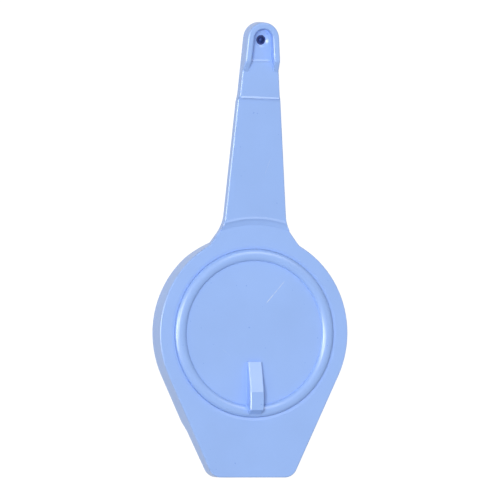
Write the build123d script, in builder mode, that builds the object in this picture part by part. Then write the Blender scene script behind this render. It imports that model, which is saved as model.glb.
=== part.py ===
"""Hand-held cheek retractor with a lit tip and a rotary switch dial.

Lies on its flat back: +Z out of the face, +Y along the blade to the tip, origin on the dial's axis
in the plane of the back. Millimetres.
"""

import os
from math import atan, cos, radians, sin, tan

from build123d import *

# grip
GRIP_R = 37.95  # round part of the grip
FACE_Z = 9.3  # grip thickness
FOOT_Y = -54.85  # lower end of the grip
FOOT_HALF = 16.2  # half-width at the lower end, before rounding
FOOT_CORNER_R = 5.0
FOOT_ANGLE = 25.2  # lean of the grip's lower sides
FLARE_Y = 40.7  # below this the blade flares out towards the grip
FLARE_SLOPE = 0.75
FLARE_R, NECK_R = 13.0, 3.0  # blends from blade to flare and from flare to grip
NECK_UNDER_Z = 6.5  # underside of the thin neck beyond the grip's round wall
EDGE_R = 0.5  # rounding of the face's edge
BACK_EDGE_R = 0.6
WALL = 1.2  # wall round the back plate
LEDGE = 2.4  # wall above the back plate
SKIN = 1.4  # face thickness outside the dial seat

# blade: a thin plate that leans forward
LEAN = 3.75
BLADE_T = 2.8
STEP_R = 43.5  # arc where the blade's face steps up from the grip's face
STEP_Z = 10.3
STEP_RUN = 2.5  # width of the sloping step
SHOULDER_Y = 87.9  # end of the wide part of the blade
SHOULDER_HALF = 8.65
BLADE_TAPER = 0.083  # half-width lost per millimetre
BLADE_END_Y, BLADE_END_HALF = 91.4, 7.9
RAMP_Y = 27.65  # the grip's back starts to rise to the blade
RAMP_END_Y = 44.65  # and meets the blade's underside

# tip
TIP_Y = 111.8  # centre of the round end
TIP_R = 6.32
TIP_TAPER = 0.08  # half-width gained per millimetre towards the grip
PAD_H = 0.6  # the tip's face above the blade's face
PAD_Y = 89.1
FLOOR_H = 0.1  # floor inside the lip
LIP_H = 3.0
LIP_IN_R = 3.8
LIP_RUN_Y = 99.25  # the lip's legs run out into the face here
LIP_FULL_Y = 103.35
PORT_Y = 111.35
PORT_R = 1.85
PORT_SINK_R = 2.85

# back plate, gasket, blade cover
PLATE_T = 1.3
GASKET_T = 0.5
COVER_T = 0.8
COVER_HALF = 3.0
COVER_Y, COVER_END_Y = 38.6, 113.6
CHANNEL_Y, CHANNEL_HALF = 34.2, 2.2

# dial and its seat
DIAL_R = 31.95
SEAT_R = 32.05
SEAT_EASE, SEAT_EASE_Z = 1.2, 0.22  # shallow slope round the seat's mouth
SEAT_Z = 7.6
SEAT_UNDER_Z = 6.2
DIAL_UNDER_Z = 7.7
BEAD_IN_R = 27.45
BEAD_H = 1.5
RIB_HALF = 2.7
RIB_START, RIB_CREST, RIB_FLAT_END, RIB_END = 10.9, 22.3, 29.1, 31.0
RIB_LOW, RIB_HIGH = 1.3, 4.2
RIB_EDGE = 0.3
STEM_R = 3.5
BORE_R = 3.55
BORE_UNDER_Z = 5.6
SHAFT_R = 2.4
SHAFT_FLAT = 1.9
TURN = 60.0
STOP_R = 24.0

# switch
ROTOR_R = 6.9
ROTOR_Z, ROTOR_TOP_Z = 4.4, 5.5
NOTCH_R = 0.75
WIPER_T = 0.2
BOARD_Z, BOARD_TOP_Z = 2.9, 3.7
TRACK_T = 0.1

# cells
CELL_R, CELL_T = 10.0, 3.2
CELL_X, CELL_Y = 11.4, -19.5
HOLDER_Z, HOLDER_FLOOR_Z, HOLDER_TOP_Z = 1.3, 1.8, 4.6
STRIP_T = 0.25
CELL_Z = HOLDER_FLOOR_Z + STRIP_T

# screws
UPPER_SCREW = (28.0, 12.5)
LOWER_SCREW = (10.0, -44.0)
SCREW_R, SCREW_L = 1.0, 3.9
HEAD_R, HEAD_H = 2.1, 0.75

SLOPE = tan(radians(LEAN))


def face_z(y):
    """Height of the blade's face."""
    return STEP_Z + SLOPE * (y - STEP_R)


def blade_back_z(y):
    return face_z(y) - BLADE_T


def half_width(y):
    """Half-width of the blade below its shoulder."""
    return SHOULDER_HALF + BLADE_TAPER * (SHOULDER_Y - y)


# side view of the grip's back, and of the underside of neck and blade
BACK_LINE = [(-60.0, 3.98), (-37.35, 2.3), (-32.95, 0.0), (RAMP_Y, 0.0), (40.0, 5.65)]
NECK_LINE = [
    (20.0, NECK_UNDER_Z),
    (38.5, NECK_UNDER_Z),
    (RAMP_END_Y, blade_back_z(RAMP_END_Y)),
    (120.0, blade_back_z(120.0)),
]


def height_on(line, y):
    for (y0, z0), (y1, z1) in zip(line, line[1:]):
        if y <= y1:
            return z0 + (z1 - z0) * (y - y0) / (y1 - y0)
    return line[-1][1]


def back_z(y):
    """Height of the grip's outer back surface."""
    return height_on(BACK_LINE, y)


def raised(line, low, high):
    """Side view of the layer that lies from low to high above the line."""
    lower = [(y, z + low) for y, z in line]
    upper = [(y, z + high) for y, z in reversed(line)]
    with BuildSketch() as view:
        with BuildLine():
            Polyline(*lower, *upper, close=True)
        make_face()
    return view.sketch


def on_face(y):
    """Plane of the blade's face, its origin at y."""
    lean = radians(LEAN)
    return Plane(origin=(0, y, face_z(y)), x_dir=(1, 0, 0), z_dir=(0, -sin(lean), cos(lean)))


TIP_PLANE = on_face(TIP_Y)
PORT_PLANE = on_face(PORT_Y)


def side_view(y):
    """Plane through the blade's axis: x along the blade from y, y out of its face."""
    lean = radians(LEAN)
    return Plane(origin=(0, y, face_z(y)), x_dir=(0, cos(lean), sin(lean)), z_dir=(1, 0, 0))


def along(y):
    """Distance along the leaning blade from the tip's centre."""
    return (y - TIP_Y) / cos(radians(LEAN))


def grip_outline(inset=0.0):
    """Plan of the round grip and its foot, moved in by inset."""
    side_x, side_y = GRIP_R * cos(radians(FOOT_ANGLE)), -GRIP_R * sin(radians(FOOT_ANGLE))
    with BuildSketch() as plan:
        Circle(GRIP_R)
        with BuildLine():
            Polyline(
                (side_x, side_y),
                (FOOT_HALF, FOOT_Y),
                (-FOOT_HALF, FOOT_Y),
                (-side_x, side_y),
                close=True,
            )
        make_face()
        fillet([v for v in plan.vertices() if v.Y < FOOT_Y + 0.1], FOOT_CORNER_R)
        if inset:
            offset(amount=-inset, mode=Mode.REPLACE)
    return plan.sketch


def face_outline(end_y=None):
    """Plan of the whole face below the tip: grip, flared neck and blade, cut off at end_y."""
    blade = [
        (half_width(FLARE_Y) + FLARE_SLOPE * (FLARE_Y - 30), 30),
        (half_width(FLARE_Y), FLARE_Y),
        (SHOULDER_HALF, SHOULDER_Y),
        (BLADE_END_HALF, BLADE_END_Y),
    ]
    with BuildSketch() as plan:
        add(grip_outline())
        with BuildLine():
            Polyline(*blade, *[(-x, y) for x, y in reversed(blade)], close=True)
        make_face()
        fillet([v for v in plan.vertices() if abs(v.Y - FLARE_Y) < 0.1], FLARE_R)
        fillet([v for v in plan.vertices() if 32 < v.Y < 35], NECK_R)
        if end_y is not None:
            with Locations((0, end_y + 60)):
                Rectangle(140, 120, mode=Mode.SUBTRACT)
    return plan.sketch


def tip_outline(radius, start_y):
    """Plan in the tip's plane: a round end, and sides that widen towards the grip as far as start_y."""
    spread, start = atan(TIP_TAPER), along(start_y)
    side = [
        (radius / cos(spread) - start * TIP_TAPER, start),
        (radius * cos(spread), radius * sin(spread)),
    ]
    with BuildSketch() as plan:
        with BuildLine():
            Polyline(*side, *[(-x, y) for x, y in reversed(side)], close=True)
        make_face()
        Circle(radius)
    return plan.sketch


def strip_outline(half, start, end):
    """A strip along the blade with a round far end."""
    with BuildSketch() as plan:
        with Locations((0, (start + end) / 2)):
            Rectangle(2 * half, end - start)
        with Locations((0, end)):
            Circle(half)
    return plan.sketch


def back_layer(plan, low, high, line=BACK_LINE):
    """What lies inside the plan, from low to high above the line of the back."""
    with BuildPart() as solid:
        with BuildSketch():
            add(plan)
        extrude(amount=30)
        with BuildSketch(Plane.YZ):
            add(raised(line, low, high))
        extrude(amount=60, both=True, mode=Mode.INTERSECT)
    return solid.part


os.makedirs("parts", exist_ok=True)

# ---------------------------------------------------------------- moulded shells

plate_pocket = back_layer(grip_outline(WALL), -30, PLATE_T + GASKET_T)
cover_pocket = back_layer(strip_outline(COVER_HALF, COVER_Y, COVER_END_Y), -30, COVER_T, NECK_LINE)

with BuildPart() as lead_channel:
    with BuildSketch():
        add(strip_outline(CHANNEL_HALF, CHANNEL_Y, PORT_Y))
    extrude(amount=30)
    with BuildSketch(Plane.YZ):
        with BuildLine():
            Polyline(
                (CHANNEL_Y - 1, 5.25),
                (COVER_Y, NECK_UNDER_Z + COVER_T),
                (COVER_Y, height_on(NECK_LINE, COVER_Y)),
                *NECK_LINE[2:],
                (120, face_z(120) - 1.0),
                (STEP_R + 0.7, face_z(STEP_R + 0.7) - 1.0),
                (STEP_R - STEP_RUN, 8.5),
                (CHANNEL_Y - 1, 8.2),
                close=True,
            )
        make_face()
    extrude(amount=10, both=True, mode=Mode.INTERSECT)

# thick round grip under a face that carries on as a thin neck
with BuildPart() as lower_grip:
    add(back_layer(grip_outline(), 0, 30))
    split(bisect_by=Plane.XY.offset(NECK_UNDER_Z), keep=Keep.BOTTOM)

with BuildPart() as grip_block:
    with BuildSketch(Plane.XY.offset(NECK_UNDER_Z)):
        add(face_outline(end_y=50))
    extrude(amount=FACE_Z - NECK_UNDER_Z)
    with BuildSketch(Plane.YZ):
        with BuildLine():
            Polyline((-60, 0), *NECK_LINE[1:], (120, FACE_Z + 8), (-60, FACE_Z + 8), close=True)
        make_face()
    extrude(amount=60, both=True, mode=Mode.INTERSECT)
    add(lower_grip.part)
    face, back = grip_block.faces().sort_by(Axis.Z)[-1], grip_block.faces().sort_by(Axis.Z)[0]
    fillet([e for e in face.edges() if e.center().Y < 49], EDGE_R)
    fillet([e for e in back.edges() if -33 < e.center().Y < 26], BACK_EDGE_R)

# blade: starts at an arc round the dial, one step above the grip's face
with BuildPart() as blade_block:
    with BuildSketch():
        add(face_outline())
    extrude(amount=30)
    with BuildSketch(Plane.YZ):
        with BuildLine():
            Polyline(
                (39, height_on(NECK_LINE, 39)),
                *NECK_LINE[2:],
                (120, face_z(120)),
                (39, face_z(39)),
                close=True,
            )
        make_face()
    extrude(amount=60, both=True, mode=Mode.INTERSECT)
    with BuildSketch(Plane.XZ):
        with BuildLine():
            Polyline(
                (0, 0),
                (STEP_R - STEP_RUN, 0),
                (STEP_R - STEP_RUN, FACE_Z - 0.02),
                (STEP_R, STEP_Z),
                (STEP_R + STEP_RUN, 2 * STEP_Z - FACE_Z),
                (0, 2 * STEP_Z - FACE_Z),
                close=True,
            )
        make_face()
    revolve(axis=Axis.Z, mode=Mode.SUBTRACT)
    face = blade_block.faces().filter_by(lambda f: f.normal_at().Z > 0.99).sort_by(SortBy.AREA)[-1]
    top = [e for e in face.edges() if abs(e.center().X) > 7 and e.center().Y < 89.5]
    fillet(top, EDGE_R)

# narrow raised tip
with BuildPart() as tip_block:
    with BuildSketch(TIP_PLANE.offset(-BLADE_T)):
        add(tip_outline(TIP_R, PAD_Y))
    extrude(amount=BLADE_T + PAD_H)
    face = tip_block.faces().filter_by(lambda f: f.normal_at().Z > 0.99).sort_by(SortBy.AREA)[-1]
    fillet([e for e in face.edges() if abs(e.center().X) > 5], 0.5)

# U-shaped lip whose legs run out into the face
with BuildPart() as lip_block:
    with BuildSketch(TIP_PLANE.offset(-2.0)):
        add(tip_outline(TIP_R, 94))
    extrude(amount=2.0 + LIP_H)
    with BuildSketch(side_view(TIP_Y)):
        with BuildLine():
            Polyline(
                (along(LIP_RUN_Y), -2),
                (along(LIP_RUN_Y), PAD_H),
                (along(LIP_FULL_Y), LIP_H),
                (9, LIP_H),
                (9, -2),
                close=True,
            )
        make_face()
    extrude(amount=10, both=True, mode=Mode.INTERSECT)
    with BuildSketch(TIP_PLANE.offset(PAD_H)):
        add(tip_outline(LIP_IN_R, 94))
    extrude(amount=4, mode=Mode.SUBTRACT)
    knees = [
        e
        for e in lip_block.edges()
        if e.center().Z > face_z(LIP_FULL_Y) + 2.5 and e.bounding_box().size.Y < 0.1
    ]
    fillet(knees, 2.5)
    rim = []
    for face in lip_block.faces():
        if face.normal_at().Z > 0.5 and face.center().Z > face_z(face.center().Y) + 1.2:
            rim += [e for e in face.edges() if e.bounding_box().size.Y > 0.5]
    fillet(rim, 0.7)

with BuildPart() as cavity:
    with BuildSketch():
        add(grip_outline(LEDGE))
    extrude(amount=SEAT_UNDER_Z)
    with BuildSketch(Plane.XY.offset(SEAT_UNDER_Z)):
        add(grip_outline(LEDGE))
        Circle(SEAT_R + 1.4, mode=Mode.SUBTRACT)
    extrude(amount=FACE_Z - SKIN - SEAT_UNDER_Z)

SCREW_SPOTS = []
for side in (1, -1):
    SCREW_SPOTS.append((side * UPPER_SCREW[0], UPPER_SCREW[1], 0.9))
    SCREW_SPOTS.append((side * LOWER_SCREW[0], LOWER_SCREW[1], 3.75))
BOSS_R = 2.8
PAD_TOP = 1.0  # plate left under each screw head
BOARD_POSTS = [(-14.5, 21.5), (14.5, 21.5), (-14.5, -5.0), (14.5, -5.0)]
DETENT_Y = 7.35
DETENT_X = 7.6

with BuildPart() as front_shell:
    add(grip_block.part)
    add(blade_block.part)
    add(tip_block.part)
    add(lip_block.part)
    # floor inside the lip, one small step below the tip's face
    with BuildSketch(TIP_PLANE.offset(FLOOR_H)):
        add(tip_outline(LIP_IN_R, LIP_FULL_Y))
    extrude(amount=LIP_H + 1, mode=Mode.SUBTRACT)
    add(plate_pocket, mode=Mode.SUBTRACT)
    add(cover_pocket, mode=Mode.SUBTRACT)
    add(lead_channel.part, mode=Mode.SUBTRACT)
    add(cavity.part, mode=Mode.SUBTRACT)
    # dial seat
    with BuildSketch(Plane.XY.offset(SEAT_Z)):
        Circle(SEAT_R)
    extrude(amount=4, mode=Mode.SUBTRACT)
    with BuildSketch(Plane.XZ):
        with BuildLine():
            Polyline(
                (0, FACE_Z - SEAT_EASE_Z),
                (SEAT_R, FACE_Z - SEAT_EASE_Z),
                (SEAT_R + SEAT_EASE, FACE_Z),
                (SEAT_R + SEAT_EASE, FACE_Z + 0.3),
                (0, FACE_Z + 0.3),
                close=True,
            )
        make_face()
    revolve(axis=Axis.Z, mode=Mode.SUBTRACT)
    with BuildSketch(Plane.XY.offset(BORE_UNDER_Z)):
        Circle(6.0)
    extrude(amount=SEAT_Z - BORE_UNDER_Z)
    with BuildSketch(Plane.XY.offset(BORE_UNDER_Z - 1)):
        Circle(BORE_R)
    extrude(amount=6, mode=Mode.SUBTRACT)
    # arc slot for the stop peg
    with BuildSketch(Plane.XY.offset(SEAT_Z - 0.7)):
        SlotArc(CenterArc((0, 0), STOP_R, 90, TURN), 2.7)
    extrude(amount=2, mode=Mode.SUBTRACT)
    # screw bosses, board posts, detent posts
    for x, y, seat in SCREW_SPOTS:
        top = SEAT_UNDER_Z + 0.1 if y > 0 else FACE_Z - SKIN + 0.1
        with BuildSketch(Plane.XY.offset(seat + PAD_TOP)):
            with Locations((x, y)):
                Circle(BOSS_R)
                Circle(SCREW_R, mode=Mode.SUBTRACT)
        extrude(amount=top - seat - PAD_TOP)
    for x, y in BOARD_POSTS:
        with BuildSketch(Plane.XY.offset(BOARD_TOP_Z)):
            with Locations((x, y)):
                Circle(1.5)
        extrude(amount=SEAT_UNDER_Z + 0.1 - BOARD_TOP_Z)
    for side in (1, -1):
        with BuildSketch(Plane.XY.offset(ROTOR_Z)):
            with Locations((side * DETENT_X, DETENT_Y)):
                Rectangle(1.6, 1.6)
                Rectangle(1.6, 0.2, mode=Mode.SUBTRACT)
        extrude(amount=SEAT_UNDER_Z + 0.1 - ROTOR_Z)
    # port with a countersink
    with BuildSketch(PORT_PLANE.offset(-1.5)):
        Circle(PORT_R)
    extrude(amount=4, mode=Mode.SUBTRACT)
    with BuildSketch(side_view(PORT_Y)):
        with BuildLine():
            Polyline(
                (0, FLOOR_H - 0.5),
                (PORT_R, FLOOR_H - 0.5),
                (PORT_SINK_R, FLOOR_H),
                (PORT_SINK_R, FLOOR_H + 0.2),
                (0, FLOOR_H + 0.2),
                close=True,
            )
        make_face()
    revolve(axis=Axis(PORT_PLANE.origin, PORT_PLANE.z_dir), mode=Mode.SUBTRACT)

with BuildPart() as back_shell:
    add(back_layer(grip_outline(WALL + 0.05), 0, PLATE_T))
    for x, y, seat in SCREW_SPOTS:
        low = back_z(y) + 0.5
        with BuildSketch(Plane.XY.offset(low)):
            with Locations((x, y)):
                Circle(BOSS_R)
        extrude(amount=seat + PAD_TOP - low)
        with BuildSketch(Plane.XY.offset(-1)):
            with Locations((x, y)):
                Circle(HEAD_R + 0.15)
        extrude(amount=1 + seat, mode=Mode.SUBTRACT)
        with BuildSketch(Plane.XY.offset(-1)):
            with Locations((x, y)):
                Circle(SCREW_R + 0.1)
        extrude(amount=10, mode=Mode.SUBTRACT)
    for x, y in BOARD_POSTS:
        with BuildSketch(Plane.XY.offset(PLATE_T - 0.2)):
            with Locations((x, y)):
                Circle(1.5)
        extrude(amount=BOARD_Z - PLATE_T + 0.2)
        with BuildSketch(Plane.XY.offset(BOARD_Z)):
            with Locations((x, y)):
                Circle(0.7)
        extrude(amount=BOARD_TOP_Z - BOARD_Z)
    for y in (-13.0, -26.0):
        with BuildSketch(Plane.XY.offset(PLATE_T)):
            with Locations((0, y)):
                Circle(0.9)
        extrude(amount=2.0)

with BuildPart() as shell_gasket:
    add(back_layer(grip_outline(WALL + 0.1), PLATE_T, PLATE_T + GASKET_T))
    inside = grip_outline(LEDGE - 0.1)
    add(back_layer(inside, PLATE_T - 0.5, PLATE_T + GASKET_T + 0.5), mode=Mode.SUBTRACT)

with BuildPart() as blade_cover:
    cover_plan = strip_outline(COVER_HALF - 0.05, COVER_Y + 0.05, COVER_END_Y - 0.05)
    add(back_layer(cover_plan, 0, COVER_T, NECK_LINE))


def recessed_screw(x, y, seat, radius, length, head_r, head_h):
    """Screw driven upwards, its head's bearing face at seat."""
    with BuildPart() as solid:
        with BuildSketch(Plane.XY.offset(seat - head_h)):
            with Locations((x, y)):
                Circle(head_r)
        extrude(amount=head_h)
        with BuildSketch(Plane.XY.offset(seat)):
            with Locations((x, y)):
                Circle(radius)
        extrude(amount=length)
        with BuildSketch(Plane.XY.offset(seat - head_h)):
            with Locations((x, y)):
                Rectangle(0.45, 1.3 * head_r)
                Rectangle(1.3 * head_r, 0.45)
        extrude(amount=0.55 * head_h, mode=Mode.SUBTRACT)
        chamfer(solid.edges().filter_by(GeomType.CIRCLE).sort_by(Axis.Z)[-1], 0.3 * radius)
    return solid.part


screws = {}
for number, (x, y, seat) in enumerate(SCREW_SPOTS, 1):
    screws[f"shell_screw_{number}"] = recessed_screw(x, y, seat, SCREW_R, SCREW_L, HEAD_R, HEAD_H)

# ---------------------------------------------------------------- board and switch tracks

with BuildPart() as circuit_board:
    with BuildSketch(Plane.XY.offset(BOARD_Z)):
        with Locations((0, 8.2)):
            RectangleRounded(34, 31.6, 2)
        Circle(2.6, mode=Mode.SUBTRACT)
        with Locations(*BOARD_POSTS):
            Circle(0.7, mode=Mode.SUBTRACT)
    extrude(amount=BOARD_TOP_Z - BOARD_Z)

with BuildPart() as switch_tracks:
    for start, size in ((-8, 76), (202, 16), (232, 16)):
        with BuildSketch(Plane.XY.offset(BOARD_TOP_Z)):
            with BuildLine():
                inner = CenterArc((0, 0), 3.9, start, size)
                outer = CenterArc((0, 0), 5.6, start, size)
                Line(inner @ 0, outer @ 0)
                Line(inner @ 1, outer @ 1)
            make_face()
        extrude(amount=TRACK_T)

with BuildPart() as driver_chip:
    with BuildSketch(Plane.XY.offset(BOARD_TOP_Z + 0.1)):
        with Locations((0, 14)):
            Rectangle(5.0, 3.9)
    extrude(amount=1.3)
    chamfer(driver_chip.faces().sort_by(Axis.Z)[-1].edges(), 0.2)
    for side in (1, -1):
        for i in range(4):
            with BuildSketch(Plane.XY.offset(BOARD_TOP_Z)):
                with Locations((-1.905 + 1.27 * i, 14 + side * 2.35)):
                    Rectangle(0.42, 1.1)
            extrude(amount=0.25)

with BuildPart() as resistor:
    with BuildSketch(Plane.XY.offset(BOARD_TOP_Z)):
        with Locations((-8, 14)):
            Rectangle(2.0, 1.25)
    extrude(amount=0.5)

with BuildPart() as capacitor:
    with BuildSketch(Plane.XY.offset(BOARD_TOP_Z)):
        with Locations((8, 14)):
            Rectangle(2.0, 1.25)
    extrude(amount=1.0)

# ---------------------------------------------------------------- cells, holder and contacts

with BuildPart() as battery_holder:
    with BuildSketch(Plane.XY.offset(HOLDER_Z)):
        with Locations((-CELL_X, CELL_Y), (CELL_X, CELL_Y)):
            Circle(CELL_R + 1.3)
        with Locations((0, CELL_Y)):
            Rectangle(2 * CELL_X, 17)
    extrude(amount=HOLDER_TOP_Z - HOLDER_Z)
    with BuildSketch(Plane.XY.offset(HOLDER_FLOOR_Z)):
        with Locations((-CELL_X, CELL_Y), (CELL_X, CELL_Y)):
            Circle(CELL_R + 0.1)
        with Locations((0, CELL_Y)):
            Rectangle(8, 6.2)
        with Locations((-CELL_X, CELL_Y - CELL_R - 1), (CELL_X, CELL_Y - CELL_R - 1)):
            Rectangle(7, 3)
    extrude(amount=5, mode=Mode.SUBTRACT)
    with BuildSketch(Plane.XY.offset(HOLDER_Z)):
        with Locations((0, -13), (0, -26)):
            Circle(0.9)
    extrude(amount=2.0, mode=Mode.SUBTRACT)


def coin_cell(x, positive_up):
    """A 20 x 3.2 mm cell: wide can, narrower negative cap."""
    with BuildPart() as solid:
        low = CELL_Z if not positive_up else CELL_Z + 0.5
        with BuildSketch(Plane.XY.offset(low)):
            with Locations((x, CELL_Y)):
                Circle(CELL_R)
        extrude(amount=CELL_T - 0.5)
        can_edges = solid.edges().filter_by(GeomType.CIRCLE)
        chamfer(can_edges, 0.2)
        with BuildSketch(Plane.XY.offset(CELL_Z)):
            with Locations((x, CELL_Y)):
                Circle(CELL_R - 1.2)
        extrude(amount=CELL_T)
    return solid.part


coin_cell_left = coin_cell(-CELL_X, True)
coin_cell_right = coin_cell(CELL_X, False)

with BuildPart() as link_contact:
    with BuildSketch(Plane.XY.offset(HOLDER_FLOOR_Z)):
        with Locations((0, CELL_Y)):
            RectangleRounded(27, 6, 1.5)
    extrude(amount=STRIP_T)


def cell_contact(x):
    """Strip from a cell's upper face down to the board."""
    top = CELL_Z + CELL_T
    with BuildPart() as solid:
        with BuildSketch(Plane.YZ.offset(x - 2)):
            with BuildLine():
                Polyline(
                    (-24, top),
                    (-24, top + STRIP_T),
                    (-6.0, top + STRIP_T),
                    (-6.0, BOARD_TOP_Z + STRIP_T),
                    (-3.5, BOARD_TOP_Z + STRIP_T),
                    (-3.5, BOARD_TOP_Z),
                    (-6.25, BOARD_TOP_Z),
                    (-6.25, top),
                    close=True,
                )
            make_face()
        extrude(amount=4)
    return solid.part


positive_contact = cell_contact(-9.0)
negative_contact = cell_contact(9.0)

# ---------------------------------------------------------------- lamp and its leads

LEAD_R = 0.3
LEAD_H = -1.68


def lamp_lead(x):
    """Lead from the board through the neck and along the blade to the lamp."""
    end_y = PORT_Y - 1.6 * cos(radians(LEAN))
    course = [
        (21.5, BOARD_TOP_Z + LEAD_R),
        (28.0, BOARD_TOP_Z + LEAD_R),
        (33.6, 5.45),
        (37.6, 7.7),
        (41.6, 8.22),
        (RAMP_END_Y, face_z(RAMP_END_Y) + LEAD_H),
        (end_y, face_z(end_y) + LEAD_H),
    ]
    with BuildPart() as solid:
        with BuildLine() as path:
            Polyline(*[(x, y, z) for y, z in course])
        with BuildSketch(Plane(origin=(x, *course[0]), x_dir=(1, 0, 0), z_dir=(0, 1, 0))):
            Circle(LEAD_R)
        sweep(path=path.line, transition=Transition.ROUND)
    return solid.part


positive_lead = lamp_lead(-0.9)
negative_lead = lamp_lead(0.9)

with BuildPart() as led:
    with BuildSketch(PORT_PLANE.offset(-1.99)):
        with Locations((0, -0.05)):
            Rectangle(2.6, 3.1)
    extrude(amount=0.59)
    with BuildSketch(PORT_PLANE.offset(-1.4)):
        Circle(0.95)
    extrude(amount=0.3)
    with Locations(PORT_PLANE.offset(-1.1)):
        Sphere(0.95, arc_size1=0)

with BuildPart() as led_shroud:
    with BuildSketch(PORT_PLANE.offset(-1.3)):
        Circle(2.1)
    extrude(amount=0.29)
    with BuildSketch(PORT_PLANE.offset(-1.1)):
        Circle(PORT_R)
    extrude(amount=0.65)
    with BuildSketch(PORT_PLANE.offset(-1.4)):
        Circle(1.2)
    extrude(amount=2, mode=Mode.SUBTRACT)

# ---------------------------------------------------------------- dial and what turns with it

with BuildPart() as dial:
    with BuildSketch(Plane.XY.offset(DIAL_UNDER_Z)):
        Circle(DIAL_R)
    extrude(amount=FACE_Z - DIAL_UNDER_Z)
    # half-round bead
    with BuildSketch(Plane.XZ):
        with BuildLine():
            EllipticalCenterArc(
                ((BEAD_IN_R + DIAL_R) / 2, FACE_Z), (DIAL_R - BEAD_IN_R) / 2, BEAD_H, arc_size=180
            )
            Line((BEAD_IN_R, FACE_Z), (DIAL_R, FACE_Z))
        make_face()
    revolve(axis=Axis.Z)
    # thumb rib
    with BuildSketch(Plane.YZ):
        with BuildLine():
            Polyline(
                (-RIB_START, FACE_Z - 0.3),
                (-RIB_START, FACE_Z + RIB_LOW),
                (-RIB_CREST, FACE_Z + RIB_HIGH),
                (-RIB_FLAT_END, FACE_Z + RIB_HIGH),
                (-RIB_END, FACE_Z + 1.0),
                (-RIB_END, FACE_Z - 0.3),
                close=True,
            )
        make_face()
    extrude(amount=RIB_HALF, both=True)
    high = [e for e in dial.edges() if e.center().Z > FACE_Z + BEAD_H + 0.05]
    rib_top = [e for e in high if abs(e.center().X) > RIB_HALF - 0.1]
    chamfer(rib_top, RIB_EDGE)
    # stop peg
    with BuildSketch(Plane.XY.offset(DIAL_UNDER_Z - 0.6)):
        with Locations((0, STOP_R)):
            Circle(1.2)
    extrude(amount=0.7)
    # stem, with a groove for its seal
    with BuildSketch(Plane.XY.offset(ROTOR_TOP_Z)):
        Circle(STEM_R)
    extrude(amount=DIAL_UNDER_Z - ROTOR_TOP_Z)
    with BuildSketch(Plane.XY.offset(6.3)):
        Circle(STEM_R + 0.01)
        Circle(2.55, mode=Mode.SUBTRACT)
    extrude(amount=0.9, mode=Mode.SUBTRACT)
    with BuildSketch(Plane.XY.offset(ROTOR_Z)):
        Circle(SHAFT_R)
        with Locations((SHAFT_FLAT + 2, 0)):
            Rectangle(4, 8, mode=Mode.SUBTRACT)
    extrude(amount=ROTOR_TOP_Z - ROTOR_Z)
    with BuildSketch(Plane.XY.offset(ROTOR_Z)):
        Circle(0.9)
    extrude(amount=2.8, mode=Mode.SUBTRACT)

with BuildPart() as dial_o_ring:
    with Locations((0, 0, 6.75)):
        Torus(3.08, 0.44)

with BuildPart() as switch_rotor:
    with BuildSketch(Plane.XY.offset(ROTOR_Z)):
        Circle(ROTOR_R)
        for turn in (0, 30, 60):
            with PolarLocations(ROTOR_R + 0.25, 1, start_angle=90 - turn):
                Circle(NOTCH_R, mode=Mode.SUBTRACT)
        with BuildSketch(mode=Mode.SUBTRACT):
            Circle(SHAFT_R)
            with Locations((SHAFT_FLAT + 2, 0)):
                Rectangle(4, 8, mode=Mode.SUBTRACT)
    extrude(amount=ROTOR_TOP_Z - ROTOR_Z)

with BuildPart() as contact_wiper:
    wiper_z = ROTOR_Z - WIPER_T
    with BuildSketch(Plane.XY.offset(wiper_z)):
        Circle(3.0)
        Rectangle(10.2, 1.2)
        Circle(0.92, mode=Mode.SUBTRACT)
    extrude(amount=WIPER_T)
    for side in (1, -1):
        with BuildSketch(Plane.XY.offset(BOARD_TOP_Z + TRACK_T + 0.02)):
            with Locations((side * 4.75, 0)):
                Rectangle(0.7, 1.2)
        extrude(amount=0.12)
        with BuildSketch(Plane.XY.offset(BOARD_TOP_Z + TRACK_T + 0.02)):
            with Locations((side * 4.75, 0)):
                Rectangle(0.2, 1.2)
        extrude(amount=wiper_z - BOARD_TOP_Z - TRACK_T)

rotor_screw = recessed_screw(0, 0, ROTOR_Z - WIPER_T, 0.9, 2.7, 1.9, 1.0)

with BuildPart() as detent_spring:
    with BuildSketch(Plane.XY.offset(ROTOR_Z + 0.1)):
        with Locations((0, DETENT_Y)):
            Rectangle(2 * DETENT_X + 1.6, 0.2)
        with Locations((0, ROTOR_R + 0.25)):
            Circle(0.6)
        with Locations((0, DETENT_Y + 0.1 + 1)):
            Rectangle(4, 2, mode=Mode.SUBTRACT)
    extrude(amount=0.9)

# ---------------------------------------------------------------- export

PARTS = {
    "front_shell": front_shell.part,
    "back_shell": back_shell.part,
    "shell_gasket": shell_gasket.part,
    "blade_cover": blade_cover.part,
    **screws,
    "circuit_board": circuit_board.part,
    "switch_tracks": switch_tracks.part,
    "driver_chip": driver_chip.part,
    "resistor": resistor.part,
    "capacitor": capacitor.part,
    "battery_holder": battery_holder.part,
    "coin_cell_left": coin_cell_left,
    "coin_cell_right": coin_cell_right,
    "link_contact": link_contact.part,
    "positive_contact": positive_contact,
    "negative_contact": negative_contact,
    "positive_lead": positive_lead,
    "negative_lead": negative_lead,
    "led": led.part,
    "led_shroud": led_shroud.part,
    "detent_spring": detent_spring.part,
    "dial": dial.part,
    "dial_o_ring": dial_o_ring.part,
    "switch_rotor": switch_rotor.part,
    "contact_wiper": contact_wiper.part,
    "rotor_screw": rotor_screw,
}
for name, solid in PARTS.items():
    solid.label = name
    export_step(solid, f"parts/{name}.step")
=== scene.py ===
"""Studio view of a hand-held cheek retractor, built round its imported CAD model."""

import math

import bpy
from mathutils import Matrix, Vector

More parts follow.
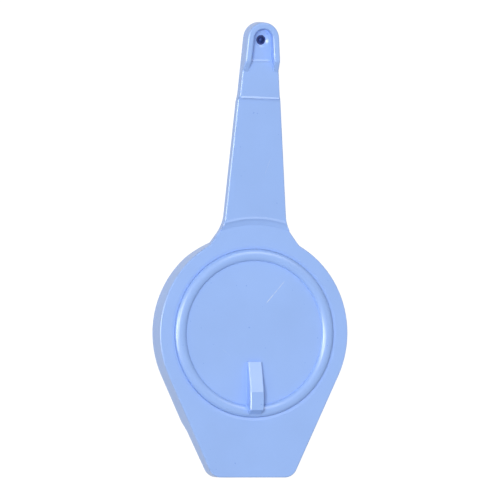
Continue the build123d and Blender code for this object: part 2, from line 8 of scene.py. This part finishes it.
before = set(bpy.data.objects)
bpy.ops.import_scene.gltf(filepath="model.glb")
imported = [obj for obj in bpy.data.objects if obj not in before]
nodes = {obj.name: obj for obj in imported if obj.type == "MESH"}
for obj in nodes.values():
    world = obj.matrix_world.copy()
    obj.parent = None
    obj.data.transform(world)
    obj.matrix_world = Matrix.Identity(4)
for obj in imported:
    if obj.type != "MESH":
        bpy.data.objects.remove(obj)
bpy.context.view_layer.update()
MM = 0.001

BLUE = (0.328, 0.515, 0.965)
SCREW_STEEL = (0.60, 0.61, 0.63)

# steps of the shell's face (mm): shoulder, floor between the lip's arms, and arc where the blade begins
SHOULDER_Y = 89.1
SHOULDER_TURN = math.radians(-2)
LIP_FLOOR_Y = 103.35
LIP_FLOOR_HALF = 3.6
NECK_ARC_R = 43.5
NECK_ARC_HALF = 13.0
# heights (mm) that part the face from the back at each of them
SHOULDER_MID_Z = 11.9
LIP_FLOOR_MID_Z = 12.9
NECK_ARC_MID_Z = 9.2


# ---------------------------------------------------------------- materials


def new_material(name, color, roughness, metallic=0.0, **sockets):
    """A Principled material; returns (material, node tree, shader)."""
    mat = bpy.data.materials.new(name)
    mat.use_nodes = True
    tree = mat.node_tree
    shader = tree.nodes["Principled BSDF"]
    shader.inputs["Base Color"].default_value = (*color, 1)
    shader.inputs["Roughness"].default_value = roughness
    shader.inputs["Metallic"].default_value = metallic
    for key, value in sockets.items():
        shader.inputs[key.replace("_", " ")].default_value = value
    return mat, tree, shader


def noise(tree, scale, detail=4.0, rough=0.55, stretch=(1, 1, 1)):
    """Noise in object space, scale in cycles per metre."""
    coord = tree.nodes.new("ShaderNodeTexCoord")
    mapping = tree.nodes.new("ShaderNodeMapping")
    mapping.inputs["Scale"].default_value = stretch
    tex = tree.nodes.new("ShaderNodeTexNoise")
    tex.inputs["Scale"].default_value = scale
    tex.inputs["Detail"].default_value = detail
    tex.inputs["Roughness"].default_value = rough
    tree.links.new(coord.outputs["Object"], mapping.inputs["Vector"])
    tree.links.new(mapping.outputs["Vector"], tex.inputs["Vector"])
    return tex.outputs["Fac"]


def ramp(tree, value, stops):
    """Colour ramp from (position, colour) stops."""
    node = tree.nodes.new("ShaderNodeValToRGB")
    elements = node.color_ramp.elements
    while len(elements) < len(stops):
        elements.new(0.5)
    for element, (position, color) in zip(elements, stops):
        element.position = position
        element.color = (*color, 1) if len(color) == 3 else color
    tree.links.new(value, node.inputs["Fac"])
    return node.outputs["Color"]


def span(tree, value, low, high):
    """Maps a 0 to 1 value to low to high."""
    node = tree.nodes.new("ShaderNodeMapRange")
    node.inputs["To Min"].default_value = low
    node.inputs["To Max"].default_value = high
    tree.links.new(value, node.inputs["Value"])
    return node.outputs["Result"]


def add_bump(tree, shader, layers):
    """Bump from (height socket, strength, distance in metres) layers."""
    last = None
    for height, strength, distance in layers:
        node = tree.nodes.new("ShaderNodeBump")
        node.inputs["Strength"].default_value = strength
        node.inputs["Distance"].default_value = distance
        tree.links.new(height, node.inputs["Height"])
        if last is not None:
            tree.links.new(last, node.inputs["Normal"])
        last = node.outputs["Normal"]
    tree.links.new(last, shader.inputs["Normal"])


def multiply(tree, first, second):
    """Product of two colours."""
    node = tree.nodes.new("ShaderNodeMix")
    node.data_type, node.blend_type = "RGBA", "MULTIPLY"
    node.inputs["Factor"].default_value = 1.0
    tree.links.new(first, node.inputs["A"])
    tree.links.new(second, node.inputs["B"])
    return node.outputs["Result"]


def math_node(tree, operation, first, second=None, clamp=False):
    """One Math node on sockets or plain numbers."""
    node = tree.nodes.new("ShaderNodeMath")
    node.operation, node.use_clamp = operation, clamp
    for socket, value in zip(node.inputs, (first, second)):
        if isinstance(value, (int, float)):
            socket.default_value = value
        elif value is not None:
            tree.links.new(value, socket)
    return node.outputs["Value"]


def product(tree, *factors):
    """Product of several 0 to 1 values."""
    result = factors[0]
    for factor in factors[1:]:
        result = math_node(tree, "MULTIPLY", result, factor)
    return result


def placed(tree, origin, turn=0.0):
    """Object coordinates (x, y, z) measured from origin (mm) after turning the axes about z."""
    coord = tree.nodes.new("ShaderNodeTexCoord")
    mapping = tree.nodes.new("ShaderNodeMapping")
    mapping.vector_type = "TEXTURE"
    mapping.inputs["Location"].default_value = [c * MM for c in origin]
    mapping.inputs["Rotation"].default_value = (0, 0, turn)
    tree.links.new(coord.outputs["Object"], mapping.inputs["Vector"])
    split = tree.nodes.new("ShaderNodeSeparateXYZ")
    tree.links.new(mapping.outputs["Vector"], split.inputs["Vector"])
    return split.outputs["X"], split.outputs["Y"], split.outputs["Z"], mapping.outputs["Vector"]


def radius_from(tree, origin):
    """Distance from a line parallel to z through origin (mm)."""
    x, y, _, _ = placed(tree, origin)
    squares = [math_node(tree, "MULTIPLY", v, v) for v in (x, y)]
    return math_node(tree, "SQRT", math_node(tree, "ADD", *squares))


def ridge(tree, value, centre, half_width):
    """1 where value equals centre, falling to 0 at half_width away (metres)."""
    gap = math_node(tree, "ABSOLUTE", math_node(tree, "SUBTRACT", value, centre))
    return math_node(tree, "SUBTRACT", 1.0, math_node(tree, "DIVIDE", gap, half_width), clamp=True)


def scratch(tree, start, end, half_width):
    """1 on a hairline from start to end (mm), fading along it with a fine noise."""
    dx, dy = end[0] - start[0], end[1] - start[1]
    length = math.hypot(dx, dy)
    x, y, _, _ = placed(tree, (start[0], start[1], 0), math.atan2(dy, dx))
    along = ridge(tree, x, length / 2 * MM, length / 2 * MM)
    along = math_node(tree, "MULTIPLY", along, 4.0, clamp=True)
    line = math_node(tree, "MULTIPLY", ridge(tree, y, 0.0, half_width * MM), along)
    broken = ramp(tree, noise(tree, 900.0, 2.0), [(0.35, (0.25, 0.25, 0.25)), (0.55, (1, 1, 1))])
    return math_node(tree, "MULTIPLY", line, broken)


def lighten(tree, color, amount, tint):
    """Mixes color towards tint by amount."""
    node = tree.nodes.new("ShaderNodeMix")
    node.data_type = "RGBA"
    tree.links.new(amount, node.inputs["Factor"])
    tree.links.new(color, node.inputs["A"])
    node.inputs["B"].default_value = (*tint, 1)
    return node.outputs["Result"]


def step_crests(tree):
    """Bump layers that put a soft crest along each step of the shell's face, not on its back."""
    _, y, z, _ = placed(tree, (0, SHOULDER_Y, 0), SHOULDER_TURN)
    face = math_node(tree, "GREATER_THAN", z, SHOULDER_MID_Z * MM)
    shoulder = product(tree, ridge(tree, y, 0.0, 0.75 * MM), face)

    x, y, z, _ = placed(tree, (0, LIP_FLOOR_Y, 0))
    between = math_node(tree, "LESS_THAN", math_node(tree, "ABSOLUTE", x), LIP_FLOOR_HALF * MM)
    face = math_node(tree, "GREATER_THAN", z, LIP_FLOOR_MID_Z * MM)
    lip_floor = product(tree, ridge(tree, y, 0.0, 0.6 * MM), between, face)

    x, y, z, _ = placed(tree, (0, 0, 0))
    between = math_node(tree, "LESS_THAN", math_node(tree, "ABSOLUTE", x), NECK_ARC_HALF * MM)
    face = math_node(tree, "GREATER_THAN", z, NECK_ARC_MID_Z * MM)
    above_dial = math_node(tree, "GREATER_THAN", y, 0.0)
    arc = ridge(tree, radius_from(tree, (0, 0, 0)), NECK_ARC_R * MM, 0.8 * MM)
    neck_arc = product(tree, arc, between, face, above_dial)
    return [(shoulder, 1.0, 0.25 * MM), (lip_floor, 0.8, 0.2 * MM), (neck_arc, 0.9, 0.2 * MM)]


def moulded_blue(name, scratches=(), gate=None, steps=False):
    """Satin pale-blue moulding: spark-eroded texture, faint flow clouds, a few specks, hairlines."""
    mat, tree, shader = new_material(name, BLUE, 0.33, Specular_IOR_Level=0.65)
    cloud = noise(tree, 45.0, 3.0, 0.5)
    low = tuple(c * 0.975 for c in BLUE)
    high = tuple(min(1.0, c * 1.02) for c in BLUE)
    color = ramp(tree, cloud, [(0.32, low), (0.68, high)])
    specks = ramp(tree, noise(tree, 760.0, 1.0, 0.4), [(0.205, (0.72, 0.78, 0.92)), (0.232, (1, 1, 1))])
    color = multiply(tree, color, specks)
    grain = noise(tree, 5200.0, 2.0, 0.6)
    layers = [(grain, 0.10, 0.00004), (noise(tree, 300.0, 2.0), 0.06, 0.00006)]
    for start, end, half_width, strength in scratches:
        line = scratch(tree, start, end, half_width)
        color = lighten(tree, color, math_node(tree, "MULTIPLY", line, strength), (0.80, 0.88, 1.0))
        layers.append((math_node(tree, "SUBTRACT", 1.0, line), 0.35, 0.00002))
    if gate:
        # trimmed injection point: a shallow dimple inside a faint ring
        distance = radius_from(tree, gate)
        ring = ridge(tree, distance, 0.0021, 0.0005)
        dimple = ridge(tree, distance, 0.0, 0.0011)
        layers.append((ring, 0.30, 0.00005))
        layers.append((math_node(tree, "SUBTRACT", 1.0, dimple), 0.15, 0.00008))
    if steps:
        layers += step_crests(tree)
    tree.links.new(color, shader.inputs["Base Color"])
    tree.links.new(span(tree, noise(tree, 160.0, 3.0), 0.27, 0.39), shader.inputs["Roughness"])
    add_bump(tree, shader, layers)
    return mat


def rubber(name):
    """Dull black rubber, faintly mottled."""
    mat, tree, shader = new_material(name, (0.03, 0.03, 0.035), 0.8)
    tree.links.new(
        ramp(tree, noise(tree, 800.0), [(0.3, (0.022, 0.022, 0.026)), (0.75, (0.055, 0.055, 0.06))]),
        shader.inputs["Base Color"],
    )
    add_bump(tree, shader, [(noise(tree, 3500.0, 3.0), 0.35, 0.00005)])
    return mat


def brushed(name, color, low, high, stretch):
    """Worked metal: fine lines along one axis, blotchy polish."""
    mat, tree, shader = new_material(name, color, 0.3, 1.0)
    lines = noise(tree, 1500.0, 3.0, 0.6, stretch)
    dark = tuple(c * 0.82 for c in color)
    tree.links.new(ramp(tree, lines, [(0.3, dark), (0.7, color)]), shader.inputs["Base Color"])
    tree.links.new(span(tree, noise(tree, 300.0, 3.0), low, high), shader.inputs["Roughness"])
    add_bump(tree, shader, [(lines, 0.2, 0.00003)])
    return mat


def turned(name, color, centre, pitch):
    """Metal with fine concentric lines about a z-parallel axis (mm)."""
    mat, tree, shader = new_material(name, color, 0.28, 1.0)
    distance = math_node(tree, "ADD", radius_from(tree, centre), span(tree, noise(tree, 500.0), 0, 0.0002))
    lines = math_node(tree, "SINE", math_node(tree, "MULTIPLY", distance, 2 * math.pi / (pitch * MM)))
    level = span(tree, lines, 0.35, 0.65)
    dark = tuple(c * 0.85 for c in color)
    tree.links.new(ramp(tree, level, [(0.2, dark), (0.8, color)]), shader.inputs["Base Color"])
    tree.links.new(span(tree, noise(tree, 250.0, 3.0), 0.2, 0.38), shader.inputs["Roughness"])
    add_bump(tree, shader, [(lines, 0.12, 0.00002)])
    return mat


def circuit_green(name):
    """Solder mask over copper: lighter where tracks run underneath, faint weave."""
    mat, tree, shader = new_material(name, (0.01, 0.09, 0.035), 0.35)
    _, _, _, vector = placed(tree, (0, 0, 0))
    bricks = tree.nodes.new("ShaderNodeTexBrick")
    bricks.inputs["Scale"].default_value = 180.0
    bricks.inputs["Mortar Size"].default_value = 0.035
    bricks.inputs["Color1"].default_value = (0.008, 0.075, 0.028, 1)
    bricks.inputs["Color2"].default_value = (0.010, 0.095, 0.036, 1)
    bricks.inputs["Mortar"].default_value = (0.025, 0.17, 0.07, 1)
    tree.links.new(vector, bricks.inputs["Vector"])
    tree.links.new(bricks.outputs["Color"], shader.inputs["Base Color"])
    tree.links.new(span(tree, noise(tree, 400.0), 0.28, 0.45), shader.inputs["Roughness"])
    add_bump(tree, shader, [(bricks.outputs["Fac"], 0.3, 0.00003), (noise(tree, 2600.0), 0.15, 0.00003)])
    return mat


def moulded(name, color, roughness, grain_scale, spread=0.25):
    """Plain moulded plastic or ceramic with a fine grain and a slight change of tone."""
    mat, tree, shader = new_material(name, color, roughness)
    low = tuple(c * (1 - spread) for c in color)
    high = tuple(min(1.0, c * (1 + spread)) for c in color)
    tree.links.new(ramp(tree, noise(tree, 220.0), [(0.3, low), (0.7, high)]), shader.inputs["Base Color"])
    tree.links.new(
        span(tree, noise(tree, 500.0), roughness - 0.07, roughness + 0.07), shader.inputs["Roughness"]
    )
    add_bump(tree, shader, [(noise(tree, grain_scale, 3.0), 0.22, 0.00004)])
    return mat


def end_capped(name, color, centre, half_length):
    """Chip component: body colour between two tinned ends along x (mm)."""
    mat, tree, shader = new_material(name, color, 0.5)
    x, _, _, _ = placed(tree, centre)
    wobble = span(tree, noise(tree, 3000.0), -0.00008, 0.00008)
    reach = math_node(tree, "ADD", math_node(tree, "ABSOLUTE", x), wobble)
    tinned = math_node(tree, "GREATER_THAN", reach, half_length * 0.62 * MM)
    body = ramp(tree, noise(tree, 1500.0), [(0.3, tuple(c * 0.8 for c in color)), (0.7, color)])
    tree.links.new(lighten(tree, body, tinned, (0.62, 0.62, 0.60)), shader.inputs["Base Color"])
    tree.links.new(tinned, shader.inputs["Metallic"])
    tree.links.new(span(tree, noise(tree, 900.0), 0.35, 0.55), shader.inputs["Roughness"])
    add_bump(tree, shader, [(noise(tree, 2500.0), 0.2, 0.00003)])
    return mat


def centre_of(name):
    """Middle of a node's box, in the node's own coordinates (mm)."""
    corners = [Vector(c) for c in nodes[name].bound_box]
    return tuple(sum(c[i] for c in corners) / 8 / MM for i in range(3))


def cover(names, mat):
    """Gives the named CAD nodes this one material."""
    for name in names:
        nodes[name].data.materials.clear()
        nodes[name].data.materials.append(mat)


cover(
    ["front_shell"],
    moulded_blue(
        "moulded_blue",
        [((-31.0, 9.0), (-29.4, 6.4), 0.10, 0.5), ((3.0, 60.0), (5.2, 66.5), 0.07, 0.35)],
        steps=True,
    ),
)
cover(["back_shell", "blade_cover"], moulded_blue("moulded_blue_back", [((-14, 9), (-3, 16), 0.08, 0.3)]))
cover(
    ["dial"],
    moulded_blue(
        "moulded_blue_dial",
        [((4.6, 11.2), (12.2, 19.9), 0.17, 1.0), ((-13.0, -6.0), (-9.4, -8.8), 0.07, 0.3)],
        gate=(-2.3, 1.6, 0),
    ),
)
cover(["shell_gasket"], rubber("gasket_rubber"))
cover(["dial_o_ring"], rubber("ring_rubber"))
for number in range(1, 5):
    screw = f"shell_screw_{number}"
    cover([screw], turned(f"screw_steel_{number}", SCREW_STEEL, centre_of(screw), 0.35))
cover(["rotor_screw"], turned("rotor_screw_steel", SCREW_STEEL, centre_of("rotor_screw"), 0.35))
cover(["circuit_board"], circuit_green("solder_mask"))
cover(["switch_tracks"], brushed("track_gold", (0.80, 0.58, 0.24), 0.2, 0.4, (1, 6, 1)))
cover(["contact_wiper"], brushed("wiper_gold", (0.78, 0.56, 0.26), 0.2, 0.35, (1, 8, 1)))
cover(["driver_chip"], moulded("chip_epoxy", (0.022, 0.022, 0.025), 0.62, 4000.0))
cover(["resistor"], end_capped("resistor_black", (0.03, 0.03, 0.035), centre_of("resistor"), 1.0))
cover(["capacitor"], end_capped("capacitor_tan", (0.36, 0.22, 0.11), centre_of("capacitor"), 1.0))
cover(["battery_holder"], moulded("holder_black", (0.030, 0.030, 0.034), 0.55, 3000.0))
for side in ("left", "right"):
    cell = f"coin_cell_{side}"
    cover([cell], turned(f"cell_steel_{side}", (0.66, 0.66, 0.65), centre_of(cell), 0.6))
for name in ("link_contact", "positive_contact", "negative_contact", "detent_spring"):
    cover([name], brushed(f"{name}_nickel", (0.66, 0.64, 0.58), 0.22, 0.42, (8, 1, 1)))
cover(["positive_lead"], moulded("lead_red", (0.42, 0.018, 0.012), 0.35, 1800.0))
cover(["negative_lead"], moulded("lead_black", (0.020, 0.020, 0.022), 0.35, 1800.0))
# painted shade: the LED's lens is clear, and its dark blue stands in for the shade deep in the port
cover(["led"], moulded("lens_painted_shade", (0.026, 0.065, 0.30), 0.16, 1200.0))
# painted shade: the shroud lining the port is a real piece, and its dark navy stands in for the shade
# inside the port
cover(["led_shroud"], moulded("shroud_navy", (0.012, 0.034, 0.19), 0.55, 2600.0))
cover(["switch_rotor"], moulded("rotor_white", (0.70, 0.70, 0.67), 0.5, 2200.0, 0.04))

# ---------------------------------------------------------------- floor, light, camera

FLOOR_HALF = 6
FLOOR_DROP = 0.2 * MM  # just clear of the flat back
floor_mesh = bpy.data.meshes.new("floor")
floor_corners = [(x * FLOOR_HALF, y * FLOOR_HALF, 0) for x, y in ((-1, -1), (1, -1), (1, 1), (-1, 1))]
floor_mesh.from_pydata(floor_corners, [], [(0, 1, 2, 3)])
floor = bpy.data.objects.new("floor", floor_mesh)
floor.location.z = -FLOOR_DROP
bpy.context.scene.collection.objects.link(floor)
floor_mat, floor_tree, floor_shader = new_material(
    "floor_white", (0.08, 0.08, 0.08), 0.9, Emission_Color=(1, 1, 1, 1), Emission_Strength=1.0
)
floor_shader.inputs["Specular IOR Level"].default_value = 0.0
floor_mesh.materials.append(floor_mat)
floor.visible_diffuse = False

SKY = 0.57
world = bpy.data.worlds.new("studio")
bpy.context.scene.world = world
world.use_nodes = True
world_tree = world.node_tree
background = world_tree.nodes["Background"]
background.inputs["Strength"].default_value = SKY
# bright overhead, darkest near the horizon, and bright again below it
direction = world_tree.nodes.new("ShaderNodeTexCoord")
split = world_tree.nodes.new("ShaderNodeSeparateXYZ")
world_tree.links.new(direction.outputs["Generated"], split.inputs["Vector"])
height = world_tree.nodes.new("ShaderNodeMapRange")
height.inputs["From Min"].default_value = -1.0
world_tree.links.new(split.outputs["Z"], height.inputs["Value"])
sky_stops = [(0.35, (0.9, 0.9, 0.9)), (0.55, (0.5, 0.5, 0.5)), (0.9, (1.0, 1.0, 1.0))]
sky = ramp(world_tree, height.outputs["Result"], sky_stops)
world_tree.links.new(sky, background.inputs["Color"])


LIGHT_AIM = Vector((0, 0.03, 0))


def area_light(name, location, size, power, gloss_only=False):
    """Square soft light turned towards the middle of the object."""
    data = bpy.data.lights.new(name, "AREA")
    data.size = size
    data.energy = power
    obj = bpy.data.objects.new(name, data)
    obj.location = location
    obj.rotation_mode = "QUATERNION"
    obj.rotation_quaternion = (Vector(location) - LIGHT_AIM).to_track_quat("Z", "Y")
    obj.visible_diffuse = not gloss_only
    bpy.context.scene.collection.objects.link(obj)


area_light("key", (-0.85, 0.25, 1.4), 0.4, 14.4)
# these two give only highlights: on edges and the dial's rim, and on the crests of the steps
area_light("edge_gloss", (-1.5, 0.05, 0.6), 0.8, 34.0, gloss_only=True)
area_light("crest_gloss", (0.6, 1.0, 1.35), 0.8, 10.0, gloss_only=True)

# the camera looks down on the face from the object's left, nearly square to it
YAW = math.radians(20)
ROLL = math.radians(0.4)
DISTANCE = 4.0
SENSOR = 36
PICTURE_PIXELS = 500
MM_PER_PIXEL = 0.38
cam_data = bpy.data.cameras.new("camera")
cam_data.sensor_width = SENSOR
cam = bpy.data.objects.new("camera", cam_data)
bpy.context.scene.collection.objects.link(cam)
back = Vector((-math.sin(YAW), 0, math.cos(YAW)))
up = Vector((0, 1, 0))
right = up.cross(back)
rotation = Matrix((right, up, back)).transposed() @ Matrix.Rotation(ROLL, 3, "Z")
# the picture's centre lies slightly left of the dial's centre, and above it
look_at = Vector((0, 0, 0.0093)) + right * -0.00184 + up * 0.0316
cam.rotation_mode = "QUATERNION"
cam.rotation_quaternion = rotation.to_quaternion()
cam.location = look_at + back * DISTANCE
FRAME_SIZE = PICTURE_PIXELS * MM_PER_PIXEL * MM
cam_data.lens = SENSOR * DISTANCE / FRAME_SIZE
cam_data.clip_start, cam_data.clip_end = 0.1, 30
bpy.context.scene.camera = cam
bpy.context.scene.view_settings.view_transform = "Standard"
